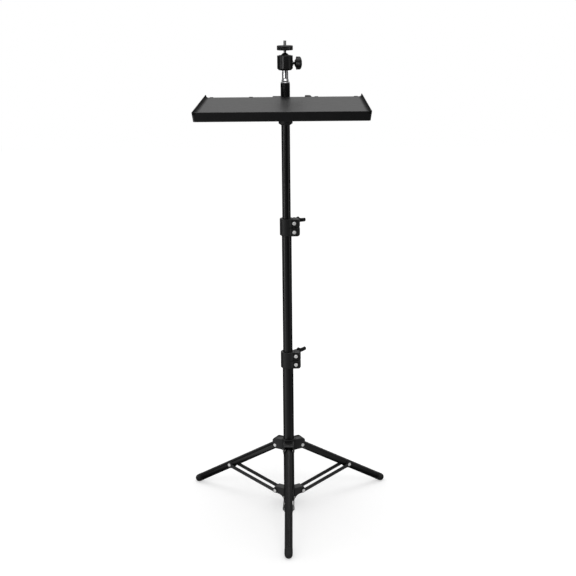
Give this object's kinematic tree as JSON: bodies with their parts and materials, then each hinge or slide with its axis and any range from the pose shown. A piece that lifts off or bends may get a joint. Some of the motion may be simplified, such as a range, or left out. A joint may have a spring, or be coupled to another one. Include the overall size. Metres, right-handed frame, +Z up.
{
  "type": "projector tripod stand",
  "caption": "Telescoping tripod stand with folding braced legs, split-collar clamps, a shallow shelf tray and a small ball head with a threaded stud.",
  "frame": {"origin": "centre of the bounding box's bottom face, on the floor under the stand", "axes": "+Z up along the telescoping column, -Y towards the front leg and the tray's front edge, +X to the right seen from the front"},
  "size_m": [0.4758, 0.4882, 1.0962],
  "materials": {
    "ball_housing": "black anodised",
    "ball_lock_knob": "black moulded plastic, fine grain",
    "ball_stem": "dark plated steel",
    "brace_bar_front_a": "black painted steel strip",
    "brace_bar_front_b": "black painted steel strip",
    "brace_bar_left_a": "black painted steel strip",
    "brace_bar_left_b": "black painted steel strip",
    "brace_bar_right_a": "black painted steel strip",
    "brace_bar_right_b": "black painted steel strip",
    "brace_rivet_front_a": "bright steel rivet",
    "brace_rivet_front_b": "bright steel rivet",
    "brace_rivet_left_a": "bright steel rivet",
    "brace_rivet_left_b": "bright steel rivet",
    "brace_rivet_right_a": "bright steel rivet",
    "brace_rivet_right_b": "bright steel rivet",
    "column_end_cap": "matte black rubber",
    "column_tube": "black gloss paint on steel tube, soft sheen",
    "crown": "black moulded plastic, fine grain",
    "crown_lock_knob": "black moulded plastic, fine grain",
    "crown_pin_front": "bright steel rivet",
    "crown_pin_left": "bright steel rivet",
    "crown_pin_right": "bright steel rivet",
    "head_post": "black gloss paint on steel tube, soft sheen",
    "head_spigot": "bright chrome plate",
    "leg_foot_front": "matte black rubber",
    "leg_foot_left": "matte black rubber",
    "leg_foot_right": "matte black rubber",
    "leg_saddle_front": "black painted steel clip",
    "leg_saddle_left": "black painted steel clip",
    "leg_saddle_right": "black painted steel clip",
    "leg_top_plug_front": "black moulded plastic",
    "leg_top_plug_left": "black moulded plastic",
    "leg_top_plug_right": "black moulded plastic",
    "leg_tube_front": "black gloss paint on steel tube, soft sheen",
    "leg_tube_left": "black gloss paint on steel tube, soft sheen",
    "leg_tube_right": "black gloss paint on steel tube, soft sheen",
    "locking_disc": "black anodised, knurled rim",
    "lower_clamp": "black moulded plastic, fine grain",
    "lower_clamp_bolt": "zinc plated steel",
    "lower_clamp_knob": "black moulded plastic, fine grain",
    "lower_knob_bolt": "zinc plated steel",
    "lower_spider": "black moulded plastic, fine grain",
    "mid_tube": "black gloss paint on steel tube, soft sheen",
    "mid_tube_bush": "black moulded plastic, fine grain",
    "spider_pin_front": "bright steel rivet",
    "spider_pin_left": "bright steel rivet",
    "spider_pin_right": "bright steel rivet",
    "top_tube": "black gloss paint on steel tube, soft sheen",
    "top_tube_bush": "black moulded plastic, fine grain",
    "tray_bracket": "black moulded plastic, fine grain",
    "tray_liner": "black moulded plastic, fine grain",
    "tray_lock_knob": "black moulded plastic, fine grain",
    "tray_pan": "satin black moulded plastic, fine grain",
    "tray_screw_1": "zinc plated steel",
    "tray_screw_2": "zinc plated steel",
    "upper_clamp": "black moulded plastic, fine grain",
    "upper_clamp_bolt": "zinc plated steel",
    "upper_clamp_knob": "black moulded plastic, fine grain",
    "upper_knob_bolt": "zinc plated steel"
  },
  "bodies": {
    "stand_base": {"column_tube": "column_tube", "column_end_cap": "column_end_cap", "lower_spider": "lower_spider", "spider_pin_front": "spider_pin_front", "spider_pin_left": "spider_pin_left", "spider_pin_right": "spider_pin_right", "lower_clamp": "lower_clamp", "lower_clamp_bolt": "lower_clamp_bolt", "lower_knob_bolt": "lower_knob_bolt"},
    "lower_wing": {"lower_clamp_knob": "lower_clamp_knob"},
    "middle_stage": {"mid_tube": "mid_tube", "mid_tube_bush": "mid_tube_bush", "upper_clamp": "upper_clamp", "upper_clamp_bolt": "upper_clamp_bolt", "upper_knob_bolt": "upper_knob_bolt"},
    "upper_wing": {"upper_clamp_knob": "upper_clamp_knob"},
    "top_stage": {"top_tube": "top_tube", "top_tube_bush": "top_tube_bush", "head_post": "head_post", "head_spigot": "head_spigot"},
    "leg_crown": {"crown": "crown", "crown_pin_front": "crown_pin_front", "crown_pin_left": "crown_pin_left", "crown_pin_right": "crown_pin_right"},
    "crown_knob": {"crown_lock_knob": "crown_lock_knob"},
    "tray_slider": {"tray_liner": "tray_liner"},
    "tray": {"tray_pan": "tray_pan", "tray_bracket": "tray_bracket", "tray_screw_1": "tray_screw_1", "tray_screw_2": "tray_screw_2"},
    "tray_knob": {"tray_lock_knob": "tray_lock_knob"},
    "ball_cup": {"ball_housing": "ball_housing"},
    "ball_knob": {"ball_lock_knob": "ball_lock_knob"},
    "ball": {"ball_stem": "ball_stem"},
    "disc": {"locking_disc": "locking_disc"},
    "leg_front": {"leg_tube_front": "leg_tube_front", "leg_foot_front": "leg_foot_front", "leg_saddle_front": "leg_saddle_front", "leg_top_plug_front": "leg_top_plug_front"},
    "brace_front": {"brace_bar_front_a": "brace_bar_front_a", "brace_bar_front_b": "brace_bar_front_b", "brace_rivet_front_a": "brace_rivet_front_a", "brace_rivet_front_b": "brace_rivet_front_b"},
    "leg_left": {"leg_tube_left": "leg_tube_left", "leg_foot_left": "leg_foot_left", "leg_saddle_left": "leg_saddle_left", "leg_top_plug_left": "leg_top_plug_left"},
    "brace_left": {"brace_bar_left_a": "brace_bar_left_a", "brace_bar_left_b": "brace_bar_left_b", "brace_rivet_left_a": "brace_rivet_left_a", "brace_rivet_left_b": "brace_rivet_left_b"},
    "leg_right": {"leg_tube_right": "leg_tube_right", "leg_foot_right": "leg_foot_right", "leg_saddle_right": "leg_saddle_right", "leg_top_plug_right": "leg_top_plug_right"},
    "brace_right": {"brace_bar_right_a": "brace_bar_right_a", "brace_bar_right_b": "brace_bar_right_b", "brace_rivet_right_a": "brace_rivet_right_a", "brace_rivet_right_b": "brace_rivet_right_b"}
  },
  "joints": [
    {"name": "crown_slide", "type": "slide", "parent": "stand_base", "child": "leg_crown", "axis": [0, 0, 1], "range_m": [0, 0.1707]},
    {"name": "middle_slide", "type": "slide", "parent": "stand_base", "child": "middle_stage", "axis": [0, 0, 1], "range_m": [-0.26, 0]},
    {"name": "top_slide", "type": "slide", "parent": "middle_stage", "child": "top_stage", "axis": [0, 0, 1], "range_m": [-0.14, 0]},
    {"name": "tray_height", "type": "slide", "parent": "top_stage", "child": "tray_slider", "axis": [0, 0, 1], "range_m": [-0.065, 0]},
    {"name": "tray_swivel", "type": "hinge", "parent": "tray_slider", "child": "tray", "pos_m": [0, 0.10287, 0.945], "axis": [0, 0, 1], "continuous": true},
    {"name": "lower_wing_turn", "type": "hinge", "parent": "stand_base", "child": "lower_wing", "pos_m": [0.0187, 0.10287, 0.37944], "axis": [0, 1, 0], "range_deg": [0, 270]},
    {"name": "upper_wing_turn", "type": "hinge", "parent": "middle_stage", "child": "upper_wing", "pos_m": [0.0172, 0.10287, 0.69464], "axis": [0, 1, 0], "range_deg": [0, 270]},
    {"name": "crown_knob_turn", "type": "hinge", "parent": "leg_crown", "child": "crown_knob", "pos_m": [0, 0.10287, 0.16034], "axis": [0, 1, 0], "range_deg": [0, 270]},
    {"name": "tray_knob_turn", "type": "hinge", "parent": "tray", "child": "tray_knob", "pos_m": [0, 0.10287, 0.96664], "axis": [1, 0, 0], "range_deg": [0, 270]},
    {"name": "ball_pan", "type": "hinge", "parent": "top_stage", "child": "ball_cup", "pos_m": [0, 0.10287, 1.03284], "axis": [0, 0, 1], "continuous": true},
    {"name": "ball_knob_turn", "type": "hinge", "parent": "ball_cup", "child": "ball_knob", "pos_m": [0, 0.10287, 1.04764], "axis": [1, 0, 0], "range_deg": [0, 270]},
    {"name": "ball_tilt", "type": "hinge", "parent": "ball_cup", "child": "ball", "pos_m": [0, 0.10287, 1.06084], "axis": [1, 0, 0], "range_deg": [-35, 35]},
    {"name": "disc_turn", "type": "hinge", "parent": "ball", "child": "disc", "pos_m": [0, 0.10287, 1.08054], "axis": [0, 0, 1], "continuous": true},
    {"name": "leg_front_fold", "type": "hinge", "parent": "leg_crown", "child": "leg_front", "pos_m": [0, 0.07187, 0.15184], "axis": [1, 0, 0], "range_deg": [0, 52.6]},
    {"name": "leg_left_fold", "type": "hinge", "parent": "leg_crown", "child": "leg_left", "pos_m": [-0.02685, 0.11837, 0.15184], "axis": [-0.5, -0.866, 0], "range_deg": [0, 52.6]},
    {"name": "leg_right_fold", "type": "hinge", "parent": "leg_crown", "child": "leg_right", "pos_m": [0.02685, 0.11837, 0.15184], "axis": [-0.5, 0.866, 0], "range_deg": [0, 52.6]},
    {"name": "brace_front_fold", "type": "hinge", "parent": "stand_base", "child": "brace_front", "pos_m": [0, 0.06987, 0.03234], "axis": [-1, 0, 0], "range_deg": [0, 67.8]},
    {"name": "brace_left_fold", "type": "hinge", "parent": "stand_base", "child": "brace_left", "pos_m": [-0.02858, 0.11937, 0.03234], "axis": [0.5, 0.866, 0], "range_deg": [0, 67.8]},
    {"name": "brace_right_fold", "type": "hinge", "parent": "stand_base", "child": "brace_right", "pos_m": [0.02858, 0.11937, 0.03234], "axis": [0.5, -0.866, 0], "range_deg": [0, 67.8]}
  ],
  "couplings": [
    {"joint": "leg_front_fold", "follows": "crown_slide", "rad_per_m": 5.3694},
    {"joint": "leg_left_fold", "follows": "crown_slide", "rad_per_m": 5.3694},
    {"joint": "leg_right_fold", "follows": "crown_slide", "rad_per_m": 5.3694},
    {"joint": "brace_front_fold", "follows": "crown_slide", "rad_per_m": 6.9203},
    {"joint": "brace_left_fold", "follows": "crown_slide", "rad_per_m": 6.9203},
    {"joint": "brace_right_fold", "follows": "crown_slide", "rad_per_m": 6.9203}
  ]
}
